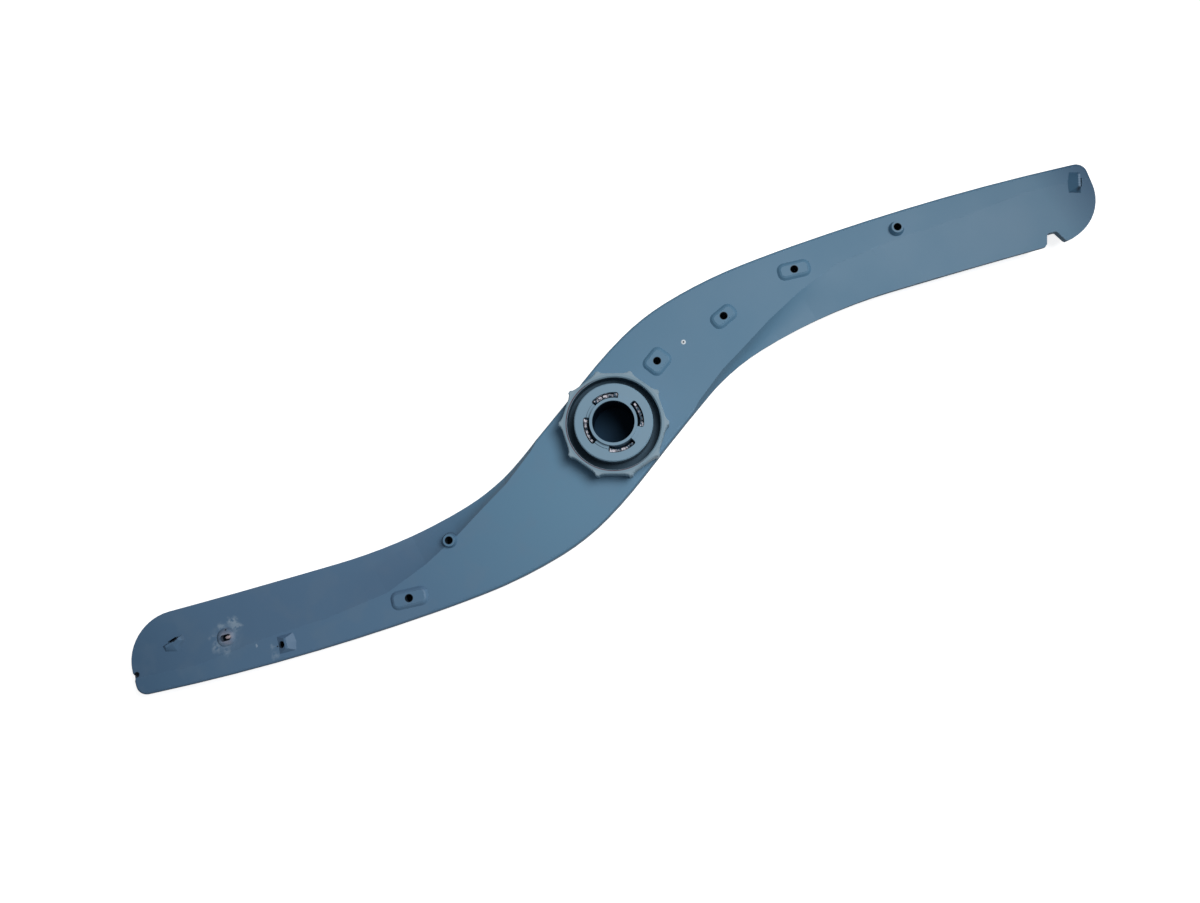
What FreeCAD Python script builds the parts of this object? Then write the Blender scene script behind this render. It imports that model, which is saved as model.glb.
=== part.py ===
"""Dishwasher spray arm: a hollow S-shaped arm that turns under a union nut on its feed pipe.

Millimetres. The hub axis is Z, the underside lies at Z = 0, the nut is at the top and the
long axis of the arm is X.
"""
import FreeCAD, Part
import math
import os

V = FreeCAD.Vector
UP = V(0, 0, 1)
ORIGIN = V(0, 0, 0)

# Plan outline of the arm. The -X arm is the same after a half turn about the hub axis, but
# ends a little sooner.
ARM_LENGTH = 460.0
ARM_SPREAD = 68.66
HUB_WIDTH = 48.64
HUB_SLOPE = 20.55
HUB_REACH = 12.0
SHOULDER_X = 46.96
SHOULDER_REACH = 18.4
BLADE_X = 106.77
BLADE_Y = 26.23
BLADE_SLOPE = 12.58
BLADE_REACH = 25.2
WAIST_X = 71.03
WAIST_Y = 4.86
WAIST_REACH = 15.0
CONVEX_TIP_SLOPE = 19.55
CONCAVE_TIP_SLOPE = 16.84
CONCAVE_REACH = 37.5
TIP_STRAIGHT = 3.0
TIP_CORNER_Y = 12.79
TIP_CORNER_R = 4.8
TIP_ROUND_R = 19.93
TIP_FLAT = 5.93
TIP_LEAN = 13.3
FAR_ARM_SHORTER = 1.2
SMALLEST_CORNER_R = 2.6

# Heights and walls of the two welded shells
TOP_Z = 12.8
SEAM_Z = 7.3
TIP_SEAM_Z = 10.6
LEVEL_HALF = 48.0
WALL = 1.8
RIM_WIDTH = 3.0
TOP_EDGE_R = 1.2
RIM_THICKNESS = 1.5
RIM_STEP = 0.25
BELLY_INSET = 3.2
BELLY_CHAMFER = 2.4

# Sloped facet along the concave edge of each blade. Each row holds the station, how far in
# from the edge its crease runs, its slope at the crease and its fall down to the edge.
FACET_ROWS = (
    (24.0, -1.0, 58.0, 4.0),
    (36.0, 1.7, 58.0, 4.3),
    (52.0, 3.3, 57.0, 4.5),
    (66.0, 5.1, 54.0, 4.5),
    (80.0, 9.0, 45.0, 4.2),
    (98.0, 14.0, 29.0, 3.6),
    (118.0, 19.0, 9.0, 2.5),
    (145.0, 21.8, 4.5, 1.7),
    (172.0, 22.8, 4.0, 1.5),
)
FACET_TIP_RUN = 28.0
FACET_TIP_STRIP = 8.0
FACET_TIP_SLOPE = 4.0
FACET_TIP_FALL = 1.4
FACET_OVERRUN = 3.0
FACET_UPRUN = 9.0
FACET_ROW_GAP = 10.0

# Jets in the upper shell. Pads: place, angle, length and width of the foot.
JET_D = 3.2
JET_DEPTH = 4.7
JET_CLEAR = 2.5
PAD_RISE = 1.2
PAD_DRAFT = 1.5
PAD_SHOULDER = 0.35
PAD_CORNER_R = 3.0
PADS = (
    (30.2, 14.2, 20.0, 11.2, 9.6),
    (64.6, 15.6, 8.0, 11.8, 7.4),
    (101.0, 16.7, -19.0, 14.2, 7.4),
    (-111.0, -16.0, -19.0, 15.8, 7.8),
)
BOSS_TOP_R = 2.5
BOSS_FOOT_R = 3.3
BOSS_RISE = 2.5
BOSSES = ((147.6, 8.4), (-84.4, -4.3))
WORN_BOSS = (-185.8, 10.8)
WORN_BOSS_TURN = -16.6
WORN_BOSS_SIZE = (7.8, 7.3)
WORN_BOSS_RISE = 1.2
WORN_MOUTH = (4.8, 2.7)
SLOT_END_FLAT = 0.1

# Fan jets: a ramp rises to a crest in front of each. Place, angle of the rise, width, run of
# the ramp, run of the front, rise and how far the foot is drawn to a point behind. The two
# wedges keep a setback from their arm's end in place of an x.
SLIT_WIDTH = 1.0
SLIT_LENGTH = 3.8
CREST_WIDTH = 0.9
RAMP_DRAFT = 0.7
TIP_WEDGE_SETBACK = 6.8
TIP_WEDGE = (-15.8, -33.0, 7.2, 4.0, 1.1, 2.3, 0.8)
FAR_WEDGE_SETBACK = 23.6
FAR_WEDGE = (20.9, 90.0, 7.4, 4.4, 1.1, 1.8, 3.0)
RAMP_JET = (-164.6, -4.8, 163.0, 5.8, 3.9, 3.6, 1.7, 0.8)
RAMP_JET_D = 2.9

GATE_MARK = (44.2, 15.3)
GATE_MARK_R = 0.85
GATE_DIMPLE_R = 0.35
GATE_RISE = 0.15
GATE_ROOT = 0.2

# Drive notches at the two tips
NOTCH_SETBACK = 29.6
NOTCH_DEPTH = 5.3
NOTCH_FLOOR = 4.0
NOTCH_LEAN_IN = 1.7
NOTCH_LEAN_OUT = 2.9
NOTCH_CORNER_R = 1.0
NOTCH_FLARE = 0.9
NOTCH_FLARE_RUN = 3.0
NOTCH_OVERRUN = 1.5
NOTCH_BELLY_GAP = 6.0
SCALLOP_R = 2.2
SCALLOP_Y = 17.5
SCALLOP_BITE = 0.8
DRIVE_JET_D = 1.9
DRIVE_JET_SETBACK = 4.4
DRIVE_JET_LEAN = 15.0

# Hub: collar and hooks on the upper shell, bush with the inlet tube, union nut
INLET_R = 8.8
TUBE_WALL = 1.15
TUBE_RISE = 1.7
TUBE_DIP = 1.6
BUSH_R = 16.4
BUSH_TOP_Z = 23.6
PLATE_THICKNESS = 2.0
SKIRT_WALL = 2.1
LAND_WIDTH = 1.45
LAND_RISE = 0.35
BUSH_CHAMFER = 0.4
WINDOW_COUNT = 4
WINDOW_ANGLE = 58.0
WINDOW_CENTRE = -13.0
WINDOW_WIDTH = 2.75
WINDOW_CORNER_R = 1.0
COLLAR_WALL = 1.5
HOOK_WALL = 1.0
HOOK_GAP = 0.5
HOOK_ANGLE = 46.0
HOOK_DEPTH = 2.3
TOOTH_START = 7.5
TOOTH_COUNT = 4
TOOTH_PITCH = 10.5
TOOTH_LENGTH = 1.1
TOOTH_WIDTH = 0.8
TOOTH_RISE = 1.2
NUB_WIDTH = 1.4
NUB_DEPTH = 0.8
NUT_BORE_R = 19.5
NUT_FLAT_R = 21.25
NUT_LOBE_REACH = 23.05
NUT_LOBE_TIP = 1.3
NUT_LOBE_NECK = 2.5
NUT_LOBE_NECK_DROP = 0.8
NUT_LOBE_FOOT = 5.2
NUT_LOBES = 10
NUT_LOBE_START = 4.5
NUT_HEIGHT = 8.2
NUT_FLANGE = 1.8
NUT_CHAMFER = 0.5
NUT_EDGE_CHAMFER = 0.4

# Clearances, how far cutting tools run past the parts, and what counts as the same height
TURN_GAP = 0.3
SLIP_GAP = 0.15
CUT_CLEAR = 1.0
END_CLEAR = 4.0
SKY_CLEAR = 10.0
NEAR = 0.01

TUBE_R = INLET_R + TUBE_WALL
SKIRT_R = BUSH_R - SKIRT_WALL
COLLAR_R = SKIRT_R - SLIP_GAP
PLATE_Z = BUSH_TOP_Z - PLATE_THICKNESS
WINDOW_R = TUBE_R + WINDOW_WIDTH
NUT_FOOT_Z = TOP_Z + TURN_GAP
NUT_TOP_Z = NUT_FOOT_Z + NUT_HEIGHT
SKIRT_FOOT_Z = NUT_FOOT_Z + NUT_FLANGE + TURN_GAP
HALF_LENGTH = ARM_LENGTH / 2
REACH = HALF_LENGTH + END_CLEAR
NOTCH_X = HALF_LENGTH - NOTCH_SETBACK
TIP_WEDGE_X = HALF_LENGTH - TIP_WEDGE_SETBACK
FAR_WEDGE_X = FAR_WEDGE_SETBACK - HALF_LENGTH
DIP = WALL / 2
SKY_Z = BUSH_TOP_Z + SKY_CLEAR


def polar(radius, degrees, z=0.0):
    """Point at a radius and an angle about the hub axis."""
    turn = math.radians(degrees)
    return V(radius * math.cos(turn), radius * math.sin(turn), z)


def half_turn(shape):
    """The same form on the other arm."""
    return shape.rotated(ORIGIN, UP, 180)


def tangent_arc(start, leave, end):
    """Arc that leaves a point in a given direction and ends at another."""
    chord = end - start
    side = V(-chord.y, chord.x, 0)
    turn = math.atan2(side.dot(leave), chord.dot(leave))
    middle = start + chord * 0.5 + side * (0.5 * math.tan(turn / 2))
    return Part.Arc(start, middle, end)


def bend(start, start_angle, start_reach, end, end_angle):
    """Two arcs, tangent to each other, that join two points at given angles."""
    leave = polar(1, start_angle)
    meet = polar(1, end_angle)
    span = end - start
    rest = span.dot(meet) + start_reach * (1 - leave.dot(meet))
    end_reach = (span.dot(span) / 2 - start_reach * span.dot(leave)) / rest
    first = start + leave * start_reach
    second = end - meet * end_reach
    joint = first + (second - first) * (start_reach / (start_reach + end_reach))
    return [tangent_arc(start, leave, joint), tangent_arc(joint, second - first, end)]


def arc(centre, radius, from_angle, to_angle):
    """Arc through its two ends and its middle."""
    middle = (from_angle + to_angle) / 2
    points = [centre + polar(radius, a) for a in (from_angle, middle, to_angle)]
    return Part.Arc(*points)


def tip_centres(corner_r=TIP_CORNER_R, shorter=0.0):
    """Centres of the small and the large round corner at the tip of the +X arm."""
    convex_out = polar(1, 90 - CONVEX_TIP_SLOPE)
    end_out = polar(1, -TIP_LEAN)
    small = V(HALF_LENGTH - TIP_CORNER_R, -TIP_CORNER_Y, 0) - polar(shorter, -CONVEX_TIP_SLOPE)
    large = small - end_out * (TIP_ROUND_R - TIP_CORNER_R) + polar(TIP_FLAT, -90 - TIP_LEAN)
    shift = (corner_r - TIP_CORNER_R) / (1 + convex_out.dot(end_out))
    return small - (convex_out + end_out) * shift, large


def convex_curves(corner_r, shorter):
    """Edge of the +X arm from the hub over its shoulder to the small corner at its tip."""
    out = polar(1, 90 - CONVEX_TIP_SLOPE)
    hub = V(0, HUB_WIDTH / 2, 0)
    shoulder = V(SHOULDER_X, ARM_SPREAD / 2, 0)
    blade = V(BLADE_X, BLADE_Y, 0)
    edge_end = tip_centres(TIP_CORNER_R, shorter)[0] + out * TIP_CORNER_R
    straight = edge_end - polar(TIP_STRAIGHT, -CONVEX_TIP_SLOPE)
    corner = tip_centres(corner_r, shorter)[0] + out * corner_r
    curves = bend(hub, HUB_SLOPE, HUB_REACH, shoulder, 0)
    curves += bend(shoulder, 0, SHOULDER_REACH, blade, -BLADE_SLOPE)
    curves += bend(blade, -BLADE_SLOPE, BLADE_REACH, straight, -CONVEX_TIP_SLOPE)
    return curves + [Part.LineSegment(straight, corner)]


def concave_curves(shorter=0.0):
    """Edge of the +X arm from its large round corner over the waist to the hub."""
    start = tip_centres(TIP_CORNER_R, shorter)[1] + polar(TIP_ROUND_R, -90 - CONCAVE_TIP_SLOPE)
    waist = V(WAIST_X, -WAIST_Y, 0)
    hub = V(0, -HUB_WIDTH / 2, 0)
    curves = bend(start, 180 - CONCAVE_TIP_SLOPE, CONCAVE_REACH, waist, 180)
    return curves + bend(waist, 180, WAIST_REACH, hub, 180 + HUB_SLOPE)


def arm_edges(corner_r, shorter=0.0):
    """Outline of the +X arm from the hub round its tip and back."""
    small, large = tip_centres(corner_r, shorter)
    curves = convex_curves(corner_r, shorter) + [
        arc(small, corner_r, 90 - CONVEX_TIP_SLOPE, -TIP_LEAN),
        Part.LineSegment(small + polar(corner_r, -TIP_LEAN), large + polar(TIP_ROUND_R, -TIP_LEAN)),
        arc(large, TIP_ROUND_R, -TIP_LEAN, -90 - CONCAVE_TIP_SLOPE),
    ] + concave_curves(shorter)
    return [curve.toShape() for curve in curves]


def outline(inset=0.0):
    """Closed plan outline of the whole arm, moved in by an inset."""
    corner_r = max(TIP_CORNER_R, inset + SMALLEST_CORNER_R)
    far_edges = [half_turn(edge) for edge in arm_edges(corner_r, FAR_ARM_SHORTER)]
    wire = Part.Wire(Part.__sortEdges__(arm_edges(corner_r) + far_edges))
    if inset:
        wire = wire.makeOffset2D(-inset)
    return wire


def slab(wire, low, high):
    """Solid with the wire's plan between two heights."""
    face = Part.Face(wire)
    face.translate(V(0, 0, low))
    return face.extrude(V(0, 0, high - low))


def turned(points):
    """Solid turned about the hub axis from (radius, height) points."""
    corners = [V(radius, 0, z) for radius, z in points]
    face = Part.Face(Part.makePolygon(corners + corners[:1]))
    return face.revolve(ORIGIN, UP, 360)


def seam_z(x):
    """Height of the weld seam along the arm: level under the hub, rising to the tips."""
    along = max(0.0, abs(x) - LEVEL_HALF) / (HALF_LENGTH - LEVEL_HALF)
    return SEAM_Z + (TIP_SEAM_Z - SEAM_Z) * along


def under_seam(drop=0.0):
    """Everything below the weld seam, or below a surface beside it."""
    ridge = [V(x, -ARM_SPREAD, seam_z(x) - drop) for x in (-REACH, -LEVEL_HALF, LEVEL_HALF, REACH)]
    ends = [V(REACH, -ARM_SPREAD, -WALL), V(-REACH, -ARM_SPREAD, -WALL)]
    face = Part.Face(Part.makePolygon(ridge + ends + ridge[:1]))
    return face.extrude(V(0, 2 * ARM_SPREAD, 0))


def concave_y(x):
    """Where the concave edge of the +X arm lies at a station, run on straight past its end."""
    across = Part.makeLine(V(x, -ARM_SPREAD, 0), V(x, 0, 0))
    for curve in concave_curves():
        near = curve.toShape().distToShape(across)
        if near[0] < 0.001:
            return near[1][0][0].y
    start = tip_centres()[1] + polar(TIP_ROUND_R, -90 - CONCAVE_TIP_SLOPE)
    return start.y - (x - start.x) * math.tan(math.radians(CONCAVE_TIP_SLOPE))


def convex_y(x):
    """Where the convex edge of the +X arm lies near its tip, taken as straight."""
    corner = tip_centres()[0] + polar(TIP_CORNER_R, 90 - CONVEX_TIP_SLOPE)
    return corner.y + (corner.x - x) * math.tan(math.radians(CONVEX_TIP_SLOPE))


def facet_section(x, inset, slope, fall, rounded):
    """Cross-section of the space above the facet at one station."""
    edge_y = concave_y(x)
    crest = V(x, edge_y + inset, TOP_Z)
    steep = math.tan(math.radians(slope))
    above = crest + V(0, FACET_UPRUN, FACET_UPRUN * steep)
    bottom = V(x, crest.y - fall / steep, crest.z - fall)
    foot = V(x, min(edge_y, bottom.y) - FACET_OVERRUN, bottom.z)
    if rounded:
        hollow = Part.BezierCurve()
        hollow.setPoles([crest, bottom, foot])
        down = [hollow.toShape()]
    else:
        down = Part.makePolygon([crest, bottom, foot]).Edges
    sky = Part.makePolygon([foot, V(x, foot.y, SKY_Z), V(x, above.y, SKY_Z), above, crest])
    return Part.Wire(down + sky.Edges)


def facet_space(rounded=True):
    """Space above the sloped facet of the +X arm."""
    rows = [row for row in FACET_ROWS if row[0] < HALF_LENGTH - FACET_TIP_RUN - FACET_ROW_GAP]
    for x in (HALF_LENGTH - FACET_TIP_RUN, HALF_LENGTH + FACET_OVERRUN):
        inset = convex_y(x) - FACET_TIP_STRIP - concave_y(x)
        rows.append((x, inset, FACET_TIP_SLOPE, FACET_TIP_FALL))
    return Part.makeLoft([facet_section(*row, rounded) for row in rows], True, True)


def notch(extra=0.0):
    """Drive notch in the concave edge of the +X arm, grown all round by an extra."""
    half = NOTCH_FLOOR / 2
    share = 1 - NOTCH_FLARE / NOTCH_DEPTH
    inner = -half - NOTCH_LEAN_IN * share
    outer = half + NOTCH_LEAN_OUT * share
    corners = [V(-half, NOTCH_DEPTH, 0), V(half, NOTCH_DEPTH, 0), V(outer, NOTCH_FLARE, 0),
               V(outer + NOTCH_FLARE_RUN, -NOTCH_OVERRUN, 0), V(inner - NOTCH_FLARE_RUN, -NOTCH_OVERRUN, 0),
               V(inner, NOTCH_FLARE, 0)]
    wire = Part.makePolygon(corners + corners[:1])
    wire = wire.makeOffset2D(-NOTCH_CORNER_R).makeOffset2D(NOTCH_CORNER_R + extra)
    return placed(slab(wire, -CUT_CLEAR, SKY_Z), NOTCH_X, concave_y(NOTCH_X), 0.0, -CONCAVE_TIP_SLOPE)


def scallop():
    """Shallow bite in the end of the -X arm, beside its end jet."""
    lean = math.radians(TIP_LEAN)
    end_x = HALF_LENGTH - FAR_ARM_SHORTER / math.cos(lean) - (SCALLOP_Y - TIP_CORNER_Y) * math.tan(lean)
    centre = V(SCALLOP_BITE - SCALLOP_R - end_x, SCALLOP_Y, -CUT_CLEAR)
    return Part.makeCylinder(SCALLOP_R, SKY_Z, centre)


def upper_body():
    """Outer form of the upper shell with its rounded top edge and its two facets."""
    body = slab(outline(), 0.0, TOP_Z)
    body = body.makeFillet(TOP_EDGE_R, [edge for edge in body.Edges if edge.BoundBox.ZMin > TOP_Z - NEAR])
    facet = facet_space()
    return body.cut([under_seam(), facet, half_turn(facet)])


def upper_cavity():
    """Water channel inside the upper shell."""
    room = slab(outline(RIM_WIDTH), 0.0, TOP_Z - WALL)
    facet = facet_space(False).translated(V(0, 0, -WALL))
    return room.cut([facet, half_turn(facet), notch(RIM_WIDTH)])


def skin_z(body, x, y):
    """Height of the shell's top surface over one place."""
    probe = Part.makeLine(V(x, y, seam_z(x) + 0.1), V(x, y, SKY_Z))
    return body.common(probe).BoundBox.ZMax


def rounded_plate(length, width, corner, z):
    """Wire of a rectangle with round corners, centred on the hub axis."""
    wire = Part.makePlane(length, width, V(-length / 2, -width / 2, z)).OuterWire
    return wire.makeOffset2D(-corner).makeOffset2D(corner)


def placed(shape, x, y, z, angle):
    """Shape turned about its own Z and moved to its place."""
    return shape.rotated(ORIGIN, UP, angle).translated(V(x, y, z))


def drafted_pad(length, width, corner, rise):
    """Low pad on the hub axis, with drafted sides and a softened top edge."""
    levels = [(-DIP, -DIP * PAD_DRAFT / rise), (rise - PAD_SHOULDER, PAD_DRAFT / 2), (rise, PAD_DRAFT)]
    wires = []
    for z, inset in levels:
        wires.append(rounded_plate(length - 2 * inset, width - 2 * inset, corner - inset, z))
    return Part.makeLoft(wires, True, True)


def pad(body, x, y, angle, length, width):
    """Raised pad round a jet."""
    return placed(drafted_pad(length, width, PAD_CORNER_R, PAD_RISE), x, y, skin_z(body, x, y), angle)


def boss(body, x, y):
    """Round boss round a jet."""
    slope = (BOSS_FOOT_R - BOSS_TOP_R) / BOSS_RISE
    foot = V(x, y, skin_z(body, x, y) - DIP)
    return Part.makeCone(BOSS_FOOT_R + slope * DIP, BOSS_TOP_R, BOSS_RISE + DIP, foot)


def worn_boss(body):
    """Low round boss whose mouth has worn to a slot."""
    x, y = WORN_BOSS
    length, width = WORN_BOSS_SIZE
    solid = drafted_pad(length, width, width / 2 - PAD_SHOULDER, WORN_BOSS_RISE)
    return placed(solid, x, y, skin_z(body, x, y), WORN_BOSS_TURN)


def ramp(body, x, y, angle, width, back, front, rise, point):
    """Ramp that rises along its angle to a crest, with drafted sides and a steep front."""
    half = width / 2
    grow = 1 + DIP / rise
    foot = [V(-back, 0, 0), V(point - back, -half, 0), V(front, -half, 0), V(front, half, 0),
            V(point - back, half, 0)]
    foot = [corner * grow - UP * DIP for corner in foot]
    thin = CREST_WIDTH / 2
    end = half - RAMP_DRAFT
    crest = [V(-thin, 0, rise), V(-thin, -end, rise), V(thin, -end, rise), V(thin, end, rise), V(-thin, end, rise)]
    wires = [Part.makePolygon(corners + corners[:1]) for corners in (foot, crest)]
    return placed(Part.makeLoft(wires, True, True), x, y, skin_z(body, x, y), angle)


def slit(x, y, angle, front):
    """Fan jet slit at the foot of a ramp's front."""
    cut = Part.makeBox(SLIT_WIDTH, SLIT_LENGTH, SKY_Z, V(front - SLIT_WIDTH / 4, -SLIT_LENGTH / 2, 0))
    return placed(cut, x, y, SEAM_Z, angle)


def jet_hole(x, y, diameter=JET_D):
    """Straight jet through the shell's top."""
    return Part.makeCylinder(diameter / 2, SKY_Z, V(x, y, SEAM_Z))


def drive_jet():
    """Jet at the end of the -X arm. It leans outwards, to turn the arm, and opens in the channel."""
    mouth = V(DRIVE_JET_SETBACK - HALF_LENGTH, SCALLOP_Y, TOP_Z - FACET_TIP_FALL)
    lean = math.radians(DRIVE_JET_LEAN)
    out = V(-math.sin(lean), 0, math.cos(lean))
    return Part.makeCylinder(DRIVE_JET_D / 2, JET_DEPTH + JET_CLEAR, mouth - out * JET_DEPTH, out)


def worn_mouth():
    """Slot-shaped mouth of the worn jet."""
    length, width = WORN_MOUTH
    wire = rounded_plate(length, width, (width - SLOT_END_FLAT) / 2, 0.0)
    x, y = WORN_BOSS
    return placed(slab(wire, SEAM_Z, SKY_Z), x, y, 0.0, WORN_BOSS_TURN)


def gate_mark(body):
    """Small moulding gate vestige."""
    x, y = GATE_MARK
    base = V(x, y, skin_z(body, x, y) - GATE_ROOT)
    ring = Part.makeCylinder(GATE_MARK_R, GATE_RISE + GATE_ROOT, base)
    return ring.cut(Part.makeCylinder(GATE_DIMPLE_R, SKY_Z, base))


def sector(inner, outer, low, high, centre, span, corner_r=0.0):
    """Piece of a ring about the hub axis, with round corners if a radius is given."""
    start = centre - span / 2
    end = centre + span / 2
    edges = [
        arc(ORIGIN, outer, start, end).toShape(),
        Part.makeLine(polar(outer, end), polar(inner, end)),
        arc(ORIGIN, inner, end, start).toShape(),
        Part.makeLine(polar(inner, start), polar(outer, start)),
    ]
    ring = slab(Part.Wire(edges), low, high)
    if corner_r:
        upright = [edge for edge in ring.Edges if edge.BoundBox.ZLength > high - low - NEAR]
        ring = ring.makeFillet(corner_r, upright)
    return ring


def window_angles():
    """Angle of each window's middle."""
    return [WINDOW_CENTRE + k * 360.0 / WINDOW_COUNT for k in range(WINDOW_COUNT)]


def collar():
    """Ring on the upper shell that the nut turns about and the bush sits on."""
    floor_z = TOP_Z - DIP
    return turned([(COLLAR_R - COLLAR_WALL, floor_z), (COLLAR_R, floor_z), (COLLAR_R, PLATE_Z),
                   (COLLAR_R - COLLAR_WALL, PLATE_Z)])


def hook(centre):
    """Snap hook under one window, with its row of teeth and the nub at its end."""
    outer = WINDOW_R - HOOK_GAP
    inner = outer - HOOK_WALL
    middle = (inner + outer) / 2
    shelf_z = BUSH_TOP_Z - HOOK_DEPTH
    floor_z = TOP_Z - DIP
    first = centre - HOOK_ANGLE / 2
    pieces = [sector(inner, outer, floor_z, shelf_z, centre, HOOK_ANGLE)]
    for k in range(TOOTH_COUNT):
        tooth = Part.makeBox(TOOTH_WIDTH, TOOTH_LENGTH, 2 * TOOTH_RISE,
                             V(middle - TOOTH_WIDTH / 2, -TOOTH_LENGTH / 2, shelf_z - TOOTH_RISE))
        pieces.append(tooth.rotated(ORIGIN, UP, first + TOOTH_START + TOOTH_PITCH * (k + 0.5)))
    nub_top = BUSH_TOP_Z - NUB_DEPTH
    nub = Part.makeBox(NUB_WIDTH, NUB_WIDTH, nub_top - floor_z,
                       V(middle - NUB_WIDTH / 2, -NUB_WIDTH / 2, floor_z))
    return pieces + [nub.rotated(ORIGIN, UP, first)]


def upper_shell():
    """Upper moulding of the arm with its jets, collar and hooks."""
    body = upper_body()
    wedges = [(TIP_WEDGE_X,) + TIP_WEDGE, (FAR_WEDGE_X,) + FAR_WEDGE]
    grown = [pad(body, *row) for row in PADS]
    grown += [boss(body, x, y) for x, y in BOSSES]
    grown += [ramp(body, *row) for row in wedges + [RAMP_JET]]
    grown += [worn_boss(body), gate_mark(body)]
    shell = body.fuse(grown)
    cuts = [upper_cavity(), notch(), scallop(), worn_mouth()]
    cuts += [jet_hole(row[0], row[1]) for row in PADS + BOSSES]
    cuts += [slit(row[0], row[1], row[2], row[5]) for row in wedges]
    mouth = V(RAMP_JET[0], RAMP_JET[1], 0) + polar((RAMP_JET[5] + CREST_WIDTH / 2) / 2, RAMP_JET[2])
    cuts += [jet_hole(mouth.x, mouth.y, RAMP_JET_D), drive_jet()]
    shell = shell.cut(cuts)
    shell = shell.fuse([collar()] + [piece for angle in window_angles() for piece in hook(angle)])
    return shell.cut(Part.makeCylinder(TUBE_R + SLIP_GAP, SKY_Z))


def lower_shell():
    """Lower moulding: a weld rim round a plain belly with a bevelled edge, even in wall."""
    rim = slab(outline(RIM_STEP), 0.0, TOP_Z).common(under_seam()).cut(under_seam(RIM_THICKNESS))
    belly = slab(outline(BELLY_INSET), 0.0, TOP_Z)
    belly = belly.makeChamfer(BELLY_CHAMFER, [edge for edge in belly.Edges if edge.BoundBox.ZMax < NEAR])
    belly = belly.common(under_seam(RIM_THICKNESS / 2)).cut(notch(NOTCH_BELLY_GAP))
    room = slab(outline(BELLY_INSET + WALL), WALL, TOP_Z)
    inner_chamfer = BELLY_CHAMFER - WALL * (2 - math.sqrt(2))
    room = room.makeChamfer(inner_chamfer, [edge for edge in room.Edges if edge.BoundBox.ZMax < WALL + NEAR])
    room = room.cut(notch(NOTCH_BELLY_GAP + WALL))
    return rim.fuse(belly).cut([room, notch(), scallop(), drive_jet()])


def bush():
    """Round bush with the inlet tube: it clips on to the collar and keeps the nut."""
    skirt = turned([(SKIRT_R, SKIRT_FOOT_Z), (BUSH_R, SKIRT_FOOT_Z), (BUSH_R, BUSH_TOP_Z - BUSH_CHAMFER),
                    (BUSH_R - BUSH_CHAMFER, BUSH_TOP_Z), (TUBE_R, BUSH_TOP_Z), (TUBE_R, PLATE_Z), (SKIRT_R, PLATE_Z)])
    land_r = TUBE_R + LAND_WIDTH
    land_z = BUSH_TOP_Z + LAND_RISE
    land = turned([(TUBE_R, PLATE_Z), (land_r, PLATE_Z), (land_r, land_z), (TUBE_R, land_z)])
    inner = TUBE_R - WINDOW_CORNER_R
    openings = [sector(inner, WINDOW_R, PLATE_Z - CUT_CLEAR, SKY_Z, angle, WINDOW_ANGLE, WINDOW_CORNER_R)
                for angle in window_angles()]
    tube_foot = TOP_Z - WALL - TUBE_DIP
    tube_top = BUSH_TOP_Z + TUBE_RISE
    tube = turned([(INLET_R, tube_foot), (TUBE_R, tube_foot), (TUBE_R, tube_top), (INLET_R, tube_top)])
    return skirt.fuse(land).cut(openings).fuse(tube)


def nut_plan():
    """Closed plan of the nut: flat walls with a small lobe on every corner between them."""
    half_step = math.radians(180.0 / NUT_LOBES)
    foot = NUT_LOBE_FOOT / 2
    foot_r = (NUT_FLAT_R - foot * math.sin(half_step)) / math.cos(half_step)
    neck = V(NUT_LOBE_REACH - NUT_LOBE_NECK_DROP, NUT_LOBE_NECK / 2, 0)
    tip = V(NUT_LOBE_REACH, NUT_LOBE_TIP / 2, 0)
    side = [V(foot_r, foot, 0), neck, tip]
    lobe = [V(point.x, -point.y, 0) for point in side] + side[::-1]
    corners = []
    for k in range(NUT_LOBES):
        turn = FreeCAD.Rotation(UP, NUT_LOBE_START + k * 360.0 / NUT_LOBES)
        corners += [turn.multVec(point) for point in lobe]
    return Part.makePolygon(corners + corners[:1])


def union_nut():
    """Union nut: thread wall with ten grip lobes over an inward flange that turns on the collar."""
    block = slab(nut_plan(), NUT_FOOT_Z, NUT_TOP_Z)
    rim = [edge for edge in block.Edges if edge.BoundBox.ZMin > NUT_TOP_Z - NEAR]
    block = block.makeChamfer(NUT_EDGE_CHAMFER, rim)
    inner = COLLAR_R + TURN_GAP
    flange_z = NUT_FOOT_Z + NUT_FLANGE
    foot_z = NUT_FOOT_Z - CUT_CLEAR
    over_z = NUT_TOP_Z + CUT_CLEAR
    mouth_r = NUT_BORE_R + NUT_CHAMFER
    hole = turned([(0, foot_z), (inner, foot_z), (inner, flange_z), (NUT_BORE_R, flange_z),
                   (NUT_BORE_R, NUT_TOP_Z - NUT_CHAMFER), (mouth_r, NUT_TOP_Z), (mouth_r, over_z), (0, over_z)])
    return block.cut(hole)


def save(name, shape):
    """Write one node as one solid and say whether it is sound."""
    print(name, "solids", len(shape.Solids), "valid", shape.isValid(), "volume", round(shape.Volume, 1))
    shape.Solids[0].exportStep(f"parts/{name}.step")


os.makedirs("parts", exist_ok=True)
save("upper_shell", upper_shell())
save("lower_shell", lower_shell())
save("hub_bush", bush())
save("union_nut", union_nut())
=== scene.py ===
import math

import bpy
from mathutils import Matrix, Vector


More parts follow.
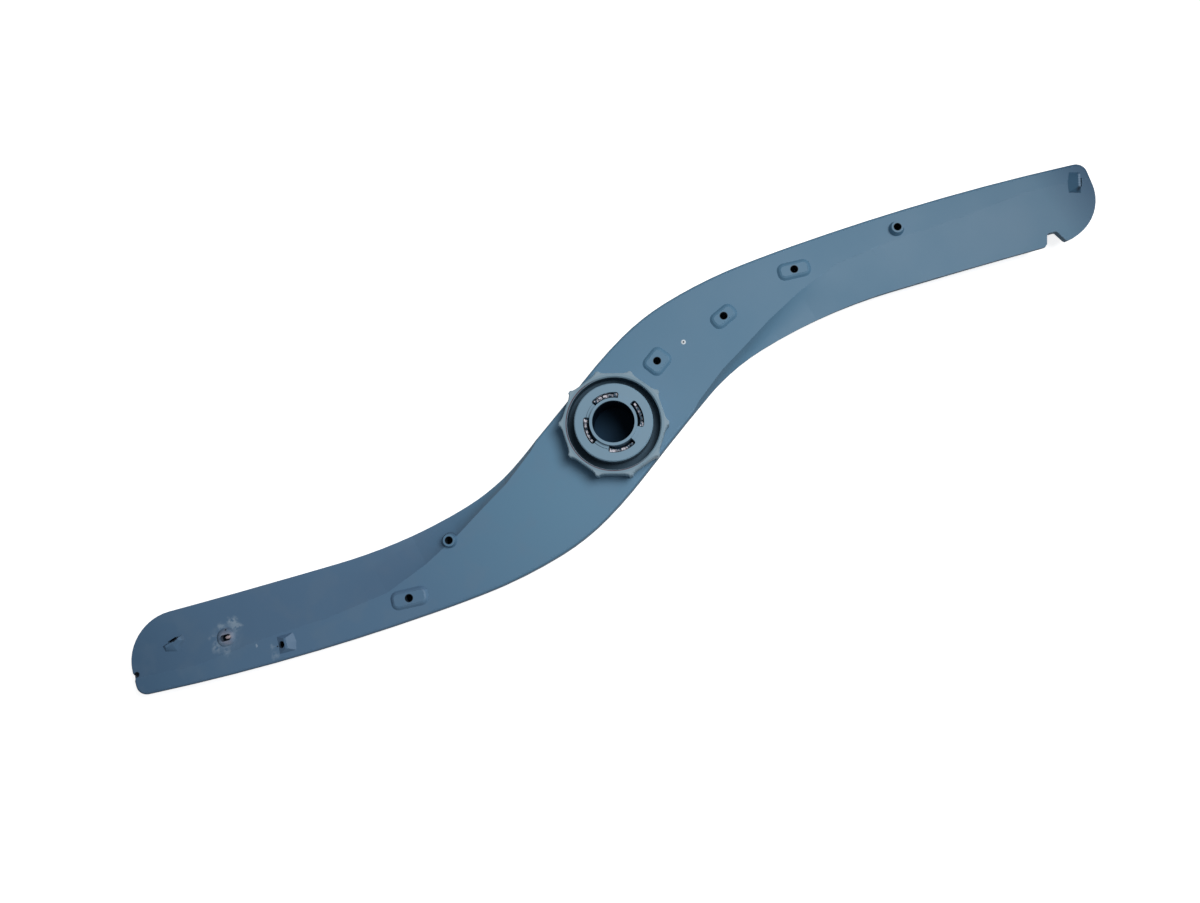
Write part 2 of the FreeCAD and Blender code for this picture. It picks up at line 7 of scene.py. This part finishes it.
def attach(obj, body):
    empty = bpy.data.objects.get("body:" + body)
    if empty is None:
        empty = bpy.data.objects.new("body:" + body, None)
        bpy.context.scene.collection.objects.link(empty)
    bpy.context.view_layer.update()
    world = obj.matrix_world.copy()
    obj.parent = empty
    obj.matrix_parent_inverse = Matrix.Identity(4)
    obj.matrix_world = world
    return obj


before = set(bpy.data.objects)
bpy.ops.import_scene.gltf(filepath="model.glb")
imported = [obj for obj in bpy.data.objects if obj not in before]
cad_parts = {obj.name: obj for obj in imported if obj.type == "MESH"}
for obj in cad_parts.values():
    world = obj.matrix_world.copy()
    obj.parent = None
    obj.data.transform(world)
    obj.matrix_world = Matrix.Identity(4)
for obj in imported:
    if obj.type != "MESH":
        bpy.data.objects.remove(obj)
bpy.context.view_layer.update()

# Upper and lower shell: two injection mouldings of grey-blue polypropylene, hot-plate welded
# at the rim. The mould was spark eroded, so the skin is matt with a fine grain, and use has
# left it slightly cloudy. Lengths in the materials are in mm, in the piece's own frame.
MM_IN_METRE = 1000.0
ARM_TONE = "#5C84A0"
ARM_CLOUD_TONE = "#5B86A3"
ARM_ROUGHNESS = 0.54
PLASTIC_IOR = 1.49
PLASTIC_SHINE = 0.5
CLOUD_MM = 38.0
CLOUD_GLOSS_SWING = 0.05
# A noise has its middle at 0.5 and usually strays this far from it
NOISE_MIDDLE = 0.5
NOISE_SWING = 0.2
# A spark-eroded grain is about 0.1 mm across, too fine to show, so it is drawn coarser
GRAIN_MM = 0.45
GRAIN_DEPTH_M = 0.00006
GRAIN_STRENGTH = 0.12


def linear(code):
    """Linear colour of an sRGB hex value."""
    values = [int(code[i:i + 2], 16) / 255 for i in (1, 3, 5)]
    return [v / 12.92 if v <= 0.04045 else ((v + 0.055) / 1.055) ** 2.4 for v in values] + [1.0]


def add_node(material, kind, settings=(), inputs=(), links=()):
    """Node with its settings, its input values and its links from other nodes' outputs."""
    node = material.node_tree.nodes.new(kind)
    for name, value in settings:
        setattr(node, name, value)
    for name, value in inputs:
        node.inputs[name].default_value = value
    for name, source in links:
        material.node_tree.links.new(source, node.inputs[name])
    return node


def mottled_skin(name, tone, cloud_tone, roughness):
    """Matt skin: two tones in slow clouds, a gloss that drifts with them and a fine grain.

    It comes with the place on the piece in mm, which its stains and its painted light and shade are drawn
    by.
    """
    material = bpy.data.materials.new(name)
    material.use_nodes = True
    shader = material.node_tree.nodes["Principled BSDF"]
    shader.inputs["IOR"].default_value = PLASTIC_IOR
    metres = add_node(material, "ShaderNodeTexCoord").outputs["Object"]
    place = add_node(material, "ShaderNodeVectorMath", [("operation", "SCALE")],
                     [("Scale", MM_IN_METRE)], [(0, metres)]).outputs["Vector"]
    clouds = add_node(material, "ShaderNodeTexNoise", inputs=[("Scale", 1 / CLOUD_MM), ("Detail", 4.0)],
                      links=[("Vector", place)]).outputs["Fac"]
    mixed = add_node(material, "ShaderNodeMix", [("data_type", "RGBA")],
                     [("A", linear(tone)), ("B", linear(cloud_tone))], [("Factor", clouds)])
    gloss = add_node(material, "ShaderNodeMapRange",
                     inputs=[("From Min", NOISE_MIDDLE - NOISE_SWING),
                             ("From Max", NOISE_MIDDLE + NOISE_SWING),
                             ("To Min", roughness - CLOUD_GLOSS_SWING),
                             ("To Max", roughness + CLOUD_GLOSS_SWING)],
                     links=[("Value", clouds)])
    grain = add_node(material, "ShaderNodeTexNoise", inputs=[("Scale", 1 / GRAIN_MM), ("Detail", 2.0)],
                     links=[("Vector", place)])
    bump = add_node(material, "ShaderNodeBump",
                    inputs=[("Strength", GRAIN_STRENGTH), ("Distance", GRAIN_DEPTH_M)],
                    links=[("Height", grain.outputs["Fac"])])
    material.node_tree.links.new(mixed.outputs["Result"], shader.inputs["Base Color"])
    material.node_tree.links.new(gloss.outputs["Result"], shader.inputs["Roughness"])
    material.node_tree.links.new(bump.outputs["Normal"], shader.inputs["Normal"])
    return material, place


def measured(material, place):
    """Distance along X, distance from the hub axis and height, all in mm."""
    axes = add_node(material, "ShaderNodeSeparateXYZ", links=[("Vector", place)])
    flat = add_node(material, "ShaderNodeVectorMath", [("operation", "MULTIPLY")],
                    [(1, (1.0, 1.0, 0.0))], [(0, place)])
    radius = add_node(material, "ShaderNodeVectorMath", [("operation", "LENGTH")],
                      links=[(0, flat.outputs["Vector"])])
    return axes.outputs["X"], radius.outputs["Value"], axes.outputs["Z"]


def spot(material, place, x, y, reach, edge):
    """Step for a round spot about a place seen from above: its reach and its soft edge in mm."""
    flat = add_node(material, "ShaderNodeVectorMath", [("operation", "MULTIPLY")],
                    [(1, (1.0, 1.0, 0.0))], [(0, place)])
    away = add_node(material, "ShaderNodeVectorMath", [("operation", "DISTANCE")],
                    [(1, (x, y, 0.0))], [(0, flat.outputs["Vector"])])
    return away.outputs["Value"], reach + edge, max(reach - edge, 0.0)


def lay(material, tone, *steps, strength=1.0, shine=None):
    """Lays a tone over the skin where all its steps are full, and returns their common mask.

    A step is what it reads, the value at which it is clear and the one at which it is full.
    Each step fills up to the mask of the one before it, and the first up to the strength.
    """
    shader = material.node_tree.nodes["Principled BSDF"]
    mask = None
    for reading, clear, full in steps:
        before = [("To Max", mask)] if mask else []
        mask = add_node(material, "ShaderNodeMapRange",
                        inputs=[("From Min", clear), ("From Max", full), ("To Max", strength)],
                        links=[("Value", reading)] + before).outputs["Result"]
    under = shader.inputs["Base Color"].links[0].from_socket
    mixed = add_node(material, "ShaderNodeMix", [("data_type", "RGBA")], [("B", linear(tone))],
                     [("A", under), ("Factor", mask)])
    material.node_tree.links.new(mixed.outputs["Result"], shader.inputs["Base Color"])
    if shine is not None:
        level = add_node(material, "ShaderNodeMapRange",
                         inputs=[("To Min", PLASTIC_SHINE), ("To Max", shine)], links=[("Value", mask)])
        material.node_tree.links.new(level.outputs["Result"], shader.inputs["Specular IOR Level"])
    return mask


def dress(node, material):
    """Gives a node of the CAD model its material."""
    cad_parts[node].data.materials.clear()
    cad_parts[node].data.materials.append(material)


shell_plastic, shell_place = mottled_skin(
    "moulded_polypropylene_grey_blue", ARM_TONE, ARM_CLOUD_TONE, ARM_ROUGHNESS)
shell_along, shell_radius, shell_height = measured(shell_plastic, shell_place)

# Painted light and shade: the half without the notch is painted a little darker and bluer where less light
# falls, and the skin beside the hub a little lighter, as a painted pool of light. Both tips are painted
# darker towards their ends, as painted shade, more on the notched one.
FAR_HALF_SHADE_TONE = "#5D80A1"
FAR_HALF_SHADE_X = (20.0, -160.0)
HUB_LIGHT_TONE = "#618DAA"
HUB_LIGHT_SPOT = (-30.0, -12.0, 42.0, 34.0)
TIP_SHADE_TONE = "#305A7C"
NOTCHED_TIP_SHADE_X = (208.0, 232.0)
FAR_TIP_SHADE_X = (-190.0, -230.0)
FAR_TIP_SHADE_STRENGTH = 0.35
lay(shell_plastic, FAR_HALF_SHADE_TONE, (shell_along, *FAR_HALF_SHADE_X))
lay(shell_plastic, HUB_LIGHT_TONE, spot(shell_plastic, shell_place, *HUB_LIGHT_SPOT))
lay(shell_plastic, TIP_SHADE_TONE, (shell_along, *NOTCHED_TIP_SHADE_X))
lay(shell_plastic, TIP_SHADE_TONE, (shell_along, *FAR_TIP_SHADE_X), strength=FAR_TIP_SHADE_STRENGTH)

# Dried water has left faint greyish stains, which show most on the darker half
STAIN_TONE = "#6A86A0"
STAIN_MM = 13.0
STAIN_EDGE = (0.5, 0.62)
STAIN_X = (60.0, -120.0)
STAIN_STRENGTH = 0.3
stains = add_node(shell_plastic, "ShaderNodeTexNoise", inputs=[("Scale", 1 / STAIN_MM), ("Detail", 4.0)],
                  links=[("Vector", shell_place)]).outputs["Fac"]
lay(shell_plastic, STAIN_TONE, (stains, *STAIN_EDGE), (shell_along, *STAIN_X), strength=STAIN_STRENGTH)

# Lime round the two jets that leak: an uneven crust whose edge is frayed and broken up. Its
# crystals are too fine to show, so the noise that breaks it up is drawn coarser than they are.
LIME_TONE = "#A0B7CA"
CRUST_MM = 1.6
CRUST_EDGE = (0.36, 0.52)
FRAY_MM = 2.6
FRAY_SWAY_MM = 0.9
# How soft a patch is, as a share of its reach
PATCH_SOFTNESS = 0.5
# Each patch: its place in mm, its reach in mm and how thick it is
LIME_PATCHES = (
    (-185.6, 11.4, 4.8, 0.30),
    (-180.4, 15.4, 1.9, 0.85),
    (-179.8, 12.6, 1.6, 0.70),
    (-185.5, 16.4, 1.2, 0.60),
    (-191.5, 14.7, 1.2, 0.35),
    (-191.2, 9.3, 1.8, 0.60),
    (-188.2, 5.8, 1.8, 0.45),
    (-170.8, -3.2, 1.0, 0.35),
    (-171.3, -6.8, 1.3, 0.40),
    (-176.6, 0.95, 0.4, 0.95),
)
crust = add_node(shell_plastic, "ShaderNodeTexNoise", inputs=[("Scale", 1 / CRUST_MM), ("Detail", 5.0)],
                 links=[("Vector", shell_place)]).outputs["Fac"]
fray = add_node(shell_plastic, "ShaderNodeTexNoise", inputs=[("Scale", 1 / FRAY_MM), ("Detail", 3.0)],
                links=[("Vector", shell_place)])
centred = add_node(shell_plastic, "ShaderNodeVectorMath", [("operation", "SUBTRACT")],
                   [(1, [NOISE_MIDDLE] * 3)], [(0, fray.outputs["Color"])])
sway = add_node(shell_plastic, "ShaderNodeVectorMath", [("operation", "SCALE")],
                [("Scale", FRAY_SWAY_MM / NOISE_SWING)], [(0, centred.outputs["Vector"])])
frayed_place = add_node(shell_plastic, "ShaderNodeVectorMath", [("operation", "ADD")],
                        links=[(0, shell_place), (1, sway.outputs["Vector"])]).outputs["Vector"]
for x, y, reach, thickness in LIME_PATCHES:
    patch = spot(shell_plastic, frayed_place, x, y, reach, reach * PATCH_SOFTNESS)
    lay(shell_plastic, LIME_TONE, patch, (crust, *CRUST_EDGE), strength=thickness)

# The worn jet's boss is greyed by scum that dries on it
SCUM_TONE = "#9A94A2"
SCUM_SPOT = (-185.6, 11.1, 3.0, 0.9)
SCUM_STRENGTH = 0.5
lay(shell_plastic, SCUM_TONE, spot(shell_plastic, frayed_place, *SCUM_SPOT), strength=SCUM_STRENGTH)

# Painted shade: the mouths of the jets, one fan slit and two pinholes, are painted near black for the dark
# inside them
JET_SHADE_TONE = "#0E1720"
JET_SHADE_EDGE = 0.12
# Each spot: its place in mm and its reach in mm
JET_SHADE_SPOTS = (
    (30.2, 14.2, 1.76),
    (64.6, 15.6, 1.76),
    (101.0, 16.7, 1.76),
    (147.6, 8.4, 1.72),
    (-84.4, -4.3, 1.72),
    (-111.0, -16.0, 1.76),
    (-225.9, 17.5, 1.2),
    (-166.7, -4.4, 1.35),
    (-206.4, 21.9, 0.7),
    (-205.2, 21.8, 0.85),
    (-204.1, 21.8, 0.7),
    (-184.4, 13.75, 0.35),
    (-168.7, -3.9, 0.3),
)
for x, y, reach in JET_SHADE_SPOTS:
    lay(shell_plastic, JET_SHADE_TONE, spot(shell_plastic, shell_place, x, y, reach, JET_SHADE_EDGE))

# Painted shade: the channel's floor under the inlet, deep below the bore, is painted dark and its specular
# dulled
BORE_FLOOR_SHADE_TONE = "#254159"
BORE_FLOOR_SHADE_SHINE = 0.06
BORE_FLOOR_SHADE_RADIUS = (26.0, 20.0)
BORE_FLOOR_SHADE_BOTTOM = (0.9, 1.5)
BORE_FLOOR_SHADE_TOP = (11.6, 10.8)
lay(shell_plastic, BORE_FLOOR_SHADE_TONE, (shell_radius, *BORE_FLOOR_SHADE_RADIUS), (shell_height, *BORE_FLOOR_SHADE_BOTTOM),
    (shell_height, *BORE_FLOOR_SHADE_TOP), shine=BORE_FLOOR_SHADE_SHINE)

# The hooks that show in the bush's windows are painted dark, as painted shade down in the windows, and
# pale patches about 2 mm across lie on them: grit, and painted highlights for their glints
HOOK_SHADE_TONE = "#274A60"
HOOK_SHADE_RADIUS = (13.2, 12.9)
HOOK_SHADE_HEIGHT = (20.0, 20.6)
GRIT_AND_GLINT_TONE = "#DEDAE2"
GRIT_AND_GLINT_MM = 2.1
GRIT_AND_GLINT_EDGE = (0.46, 0.53)
hooks = lay(shell_plastic, HOOK_SHADE_TONE, (shell_radius, *HOOK_SHADE_RADIUS), (shell_height, *HOOK_SHADE_HEIGHT))
grit_and_glints = add_node(shell_plastic, "ShaderNodeTexNoise", inputs=[("Scale", 1 / GRIT_AND_GLINT_MM), ("Detail", 4.0)],
                links=[("Vector", shell_place)]).outputs["Fac"]
lay(shell_plastic, GRIT_AND_GLINT_TONE, (grit_and_glints, *GRIT_AND_GLINT_EDGE), (hooks, 0.0, 1.0))

# Painted highlight along the crest of the ramp at the notched tip, and painted shade at its lower end
CREST_HIGHLIGHT_TONE = "#7694B0"
CREST_HIGHLIGHT_REACH = 0.5
CREST_HIGHLIGHT_EDGE = 0.25
# From end to end: each place in mm
CREST_HIGHLIGHT_SPOTS = ((222.0, -17.65), (222.6, -16.7), (223.2, -15.8), (223.8, -14.9), (224.4, -13.95))
# A dark tone for dirt, also used for painted shade at edges, walls and hollows
DIRT_AND_SHADE_TONE = "#2C3B49"
CREST_FOOT_SHADE_SPOT = (221.2, -18.6, 0.6, 0.6)
for x, y in CREST_HIGHLIGHT_SPOTS:
    lay(shell_plastic, CREST_HIGHLIGHT_TONE, spot(shell_plastic, shell_place, x, y, CREST_HIGHLIGHT_REACH, CREST_HIGHLIGHT_EDGE))
lay(shell_plastic, DIRT_AND_SHADE_TONE, spot(shell_plastic, shell_place, *CREST_FOOT_SHADE_SPOT))

# Painted shade: walls and rounded edges are painted darker than the level skin, and the sloped facet of
# the far half a little darker, where they turn from the light. Both are told by how far the skin turns
# from level, as parts of its normal.
FACET_SHADE_TONE = "#455A7A"
FACET_SHADE_LEAN = (0.02, 0.14)
FACET_SHADE_X = (-50.0, -80.0)
FACET_SHADE_STRENGTH = 0.3
EDGE_SHADE_TILT = (0.93, 0.45)
EDGE_SHADE_HEIGHT = (12.9, 12.7)
EDGE_SHADE_STRENGTH = 0.45
facing = add_node(shell_plastic, "ShaderNodeSeparateXYZ",
                  links=[("Vector", add_node(shell_plastic, "ShaderNodeTexCoord").outputs["Normal"])])
lay(shell_plastic, FACET_SHADE_TONE, (facing.outputs["Y"], *FACET_SHADE_LEAN), (shell_along, *FACET_SHADE_X),
    strength=FACET_SHADE_STRENGTH)
lay(shell_plastic, DIRT_AND_SHADE_TONE, (facing.outputs["Z"], *EDGE_SHADE_TILT), (shell_height, *EDGE_SHADE_HEIGHT),
    strength=EDGE_SHADE_STRENGTH)

# The gate vestige is stress whitened in a ring round its dimple, which holds dirt
GATE_TONE = "#E6EEF3"
GATE_PLACE = (44.2, 15.3)
GATE_RING = (1.0, 0.15)
GATE_PIT = (0.4, 0.1)
lay(shell_plastic, GATE_TONE, spot(shell_plastic, shell_place, *GATE_PLACE, *GATE_RING))
lay(shell_plastic, DIRT_AND_SHADE_TONE, spot(shell_plastic, shell_place, *GATE_PLACE, *GATE_PIT))
dress("upper_shell", shell_plastic)
dress("lower_shell", shell_plastic)

# Union nut: a lobed moulding of the same plastic, a shade lighter, partly as a cleaner plastic and partly
# as painted light for standing higher, nearer the lamp. It slips over the collar before the bush goes on,
# and screws on to the feed pipe. It is handled at each cleaning, so a ring on its outer rim is lighter:
# rubbed, and a painted highlight of the lit edge.
NUT_TONE = "#7C9AAC"
NUT_CLOUD_TONE = "#829FB0"
NUT_ROUGHNESS = 0.50
nut_plastic, nut_place = mottled_skin("moulded_polypropylene_nut", NUT_TONE, NUT_CLOUD_TONE, NUT_ROUGHNESS)
nut_across, nut_radius, nut_height = measured(nut_plastic, nut_place)

# Painted shade: the thread wall, deep in the nut, is painted dark and its specular dulled. A brownish line
# runs along its mouth on one side
THREAD_SHADE_TONE = "#1A3448"
THREAD_SHADE_RADIUS = (19.8, 19.6)
THREAD_SHADE_HEIGHT = (20.9, 20.2)
THREAD_SHADE_STRENGTH = 0.8
THREAD_SHADE_SHINE = 0.05
MOUTH_LINE_TONE = "#624851"
MOUTH_LINE_OUTSIDE = (20.2, 20.05)
MOUTH_LINE_INSIDE = (19.6, 19.75)
MOUTH_LINE_X = (6.0, -4.0)
MOUTH_LINE_HEIGHT = (20.6, 20.9)
MOUTH_LINE_STRENGTH = 0.9
RUBBED_AND_LIT_RIM_TONE = "#B4C3CE"
RUBBED_AND_LIT_RIM_RADIUS = (20.9, 21.2)
RUBBED_AND_LIT_RIM_HEIGHT = (20.85, 20.95)
RUBBED_AND_LIT_RIM_STRENGTH = 0.22
lay(nut_plastic, THREAD_SHADE_TONE, (nut_radius, *THREAD_SHADE_RADIUS), (nut_height, *THREAD_SHADE_HEIGHT),
    strength=THREAD_SHADE_STRENGTH, shine=THREAD_SHADE_SHINE)
lay(nut_plastic, MOUTH_LINE_TONE, (nut_radius, *MOUTH_LINE_OUTSIDE), (nut_radius, *MOUTH_LINE_INSIDE),
    (nut_across, *MOUTH_LINE_X), (nut_height, *MOUTH_LINE_HEIGHT), strength=MOUTH_LINE_STRENGTH)
lay(nut_plastic, RUBBED_AND_LIT_RIM_TONE, (nut_radius, *RUBBED_AND_LIT_RIM_RADIUS), (nut_height, *RUBBED_AND_LIT_RIM_HEIGHT),
    strength=RUBBED_AND_LIT_RIM_STRENGTH)
dress("union_nut", nut_plastic)

# Hub bush: a round moulding of the same light plastic that clips on to the collar and keeps the nut there.
# Its tone is lighter than the arm's, partly as a cleaner plastic and partly as painted light for standing
# higher, nearer the lamp. Its face comes from a smoother part of the mould. Painted shade: the inside of
# its tube and the foot of its skirt, deep in the bore and in the nut's groove, are painted dark, and the
# tube's specular is dulled.
BUSH_TONE = "#7A9CB2"
BUSH_CLOUD_TONE = "#81A1B6"
BUSH_ROUGHNESS = 0.50
TUBE_SHADE_TONE = "#0A1A2A"
TUBE_SHADE_RADIUS = (9.1, 8.95)
TUBE_SHADE_HEIGHT = (25.2, 23.4)
TUBE_SHADE_SHINE = 0.08
SKIRT_SHADE_RADIUS = (16.1, 16.3)
SKIRT_SHADE_HEIGHT = (23.2, 21.0)
SKIRT_SHADE_STRENGTH = 0.5
bush_plastic, bush_place = mottled_skin(
    "moulded_polypropylene_hub", BUSH_TONE, BUSH_CLOUD_TONE, BUSH_ROUGHNESS)
_, bush_radius, bush_height = measured(bush_plastic, bush_place)
lay(bush_plastic, TUBE_SHADE_TONE, (bush_radius, *TUBE_SHADE_RADIUS), (bush_height, *TUBE_SHADE_HEIGHT), shine=TUBE_SHADE_SHINE)
lay(bush_plastic, DIRT_AND_SHADE_TONE, (bush_radius, *SKIRT_SHADE_RADIUS), (bush_height, *SKIRT_SHADE_HEIGHT),
    strength=SKIRT_SHADE_STRENGTH)

# A fine dark line along the foot of the raised land, on the side away from the notch: a painted shadow of
# the step, with some dirt in it
LAND_SHADOW_INSIDE = (11.35, 11.42)
LAND_SHADOW_OUTSIDE = (11.65, 11.58)
LAND_SHADOW_SPOT = (-9.5, 4.0, 9.5, 2.5)
LAND_SHADOW_STRENGTH = 0.7
lay(bush_plastic, DIRT_AND_SHADE_TONE, (bush_radius, *LAND_SHADOW_INSIDE), (bush_radius, *LAND_SHADOW_OUTSIDE),
    spot(bush_plastic, bush_place, *LAND_SHADOW_SPOT), strength=LAND_SHADOW_STRENGTH)
dress("hub_bush", bush_plastic)

# Crumb in the worn jet: a grain of pinkish lime that the water has wedged against the end of
# the slot. It is a rough pebble, a touch glossy because it stays wet.
CRUMB_TONE = "#DCCFD2"
CRUMB_CLOUD_TONE = "#9C8A92"
CRUMB_ROUGHNESS = 0.30
CRUMB_PLACE = (-0.18465, 0.01046, 0.01315)
CRUMB_RADIUS = 0.001
CRUMB_STRETCH = (1.25, 0.72, 0.75)
CRUMB_TURN = math.radians(-16.6)
CRUMB_RELIEF = 0.00022
CRUMB_ROUNDING = 0.5
bpy.ops.object.select_all(action="DESELECT")
bpy.ops.mesh.primitive_ico_sphere_add(subdivisions=4, radius=CRUMB_RADIUS, location=CRUMB_PLACE,
                                      rotation=(0.0, 0.0, CRUMB_TURN), scale=CRUMB_STRETCH)
crumb = bpy.context.object
crumb.name = "lime_crumb"
bpy.ops.object.transform_apply(location=True, rotation=True, scale=True)
bpy.ops.object.mode_set(mode="EDIT")
bpy.ops.mesh.select_all(action="SELECT")
bpy.ops.transform.vertex_random(offset=CRUMB_RELIEF, uniform=0.5, seed=7)
bpy.ops.mesh.vertices_smooth(factor=CRUMB_ROUNDING, repeat=2)
bpy.ops.object.mode_set(mode="OBJECT")
bpy.ops.object.shade_smooth()
crumb_lime, _ = mottled_skin("wet_pink_lime", CRUMB_TONE, CRUMB_CLOUD_TONE, CRUMB_ROUGHNESS)
crumb.data.materials.append(crumb_lime)
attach(crumb, "arm")

# Studio floor: a sheet of white paper, a hair below the arm. The camera sees it nearly white,
# because it glows for camera rays only, and it keeps the arm's soft shadow.
PAPER_TONE = "#F4F4F4"
PAPER_ROUGHNESS = 0.9
PAPER_GLOW = 0.80
FLOOR_WIDTH = 6.0
FLOOR_HEIGHT = -0.0004
bpy.ops.object.select_all(action="DESELECT")
bpy.ops.mesh.primitive_plane_add(size=FLOOR_WIDTH, location=(0.0, 0.0, FLOOR_HEIGHT))
floor = bpy.context.object
floor.name = "studio_floor"
paper = bpy.data.materials.new("white_paper")
paper.use_nodes = True
paper_shader = paper.node_tree.nodes["Principled BSDF"]
paper_shader.inputs["Base Color"].default_value = linear(PAPER_TONE)
paper_shader.inputs["Roughness"].default_value = PAPER_ROUGHNESS
paper_shader.inputs["Emission Color"].default_value = (1.0, 1.0, 1.0, 1.0)
seen = add_node(paper, "ShaderNodeLightPath")
glow = add_node(paper, "ShaderNodeMath", [("operation", "MULTIPLY")], [(1, PAPER_GLOW)],
                [(0, seen.outputs["Is Camera Ray"])])
paper.node_tree.links.new(glow.outputs["Value"], paper_shader.inputs["Emission Strength"])
floor.data.materials.append(paper)

# Lamps: one softbox to the upper right of the picture, with a grid that narrows its spread,
# and a faint cool light from the room all round. The camera sees the room nearly white.
PICTURE_TURN = -0.56203
SOFTBOX_PLACE = (0.27, 0.13, 0.60)
SOFTBOX_AIM = (-0.03, -0.04, 0.0)
SOFTBOX_WIDTH = 0.36
SOFTBOX_WATTS = 0.645
SOFTBOX_SPREAD = math.radians(77.0)
ROOM_COLOUR = (0.93, 0.96, 1.0, 1.0)
ROOM_LIGHT = 0.17


def over_picture(right, up, height):
    """Place in metres given to the right of, above and over the hub as the camera sees it."""
    flat = Matrix.Rotation(PICTURE_TURN, 4, "Z") @ Vector((right, up, 0.0))
    return Vector((flat.x, flat.y, height))


softbox = bpy.data.lights.new("key_softbox", "AREA")
softbox.size = SOFTBOX_WIDTH
softbox.energy = SOFTBOX_WATTS
softbox.spread = SOFTBOX_SPREAD
softbox_stand = bpy.data.objects.new("key_softbox", softbox)
bpy.context.scene.collection.objects.link(softbox_stand)
softbox_stand.location = over_picture(*SOFTBOX_PLACE)
softbox_direction = over_picture(*SOFTBOX_AIM) - softbox_stand.location
softbox_stand.rotation_euler = softbox_direction.to_track_quat("-Z", "Y").to_euler()
room = bpy.data.worlds.new("room")
bpy.context.scene.world = room
room.use_nodes = True
backdrop = room.node_tree.nodes["Background"]
backdrop.inputs["Color"].default_value = ROOM_COLOUR
room_seen = add_node(room, "ShaderNodeLightPath")
room_level = add_node(room, "ShaderNodeMapRange", inputs=[("To Min", ROOM_LIGHT), ("To Max", 1.0)],
                      links=[("Value", room_seen.outputs["Is Camera Ray"])])
room.node_tree.links.new(room_level.outputs["Result"], backdrop.inputs["Strength"])

# Camera: above the hub and a little towards the lower edge of the picture, as in the
# photograph, with a lens of 30 mm on a frame 36 mm wide
LENS_MM = 30.0
FRAME_MM = 36.0
CAMERA_PLACE = (-0.022061, -0.069219, 0.430551)
CAMERA_BACK = (-0.02677, -0.15173, 1.0)
camera_data = bpy.data.cameras.new("camera")
camera_data.lens = LENS_MM
camera_data.sensor_width = FRAME_MM
camera = bpy.data.objects.new("camera", camera_data)
bpy.context.scene.collection.objects.link(camera)
back = Vector(CAMERA_BACK).normalized()
level = Vector((math.cos(PICTURE_TURN), math.sin(PICTURE_TURN), 0.0))
right = (level - back * level.dot(back)).normalized()
turned = Matrix((right, back.cross(right), back)).transposed().to_4x4()
camera.matrix_world = Matrix.Translation(CAMERA_PLACE) @ turned
bpy.context.scene.camera = camera
bpy.context.scene.view_settings.view_transform = "Standard"
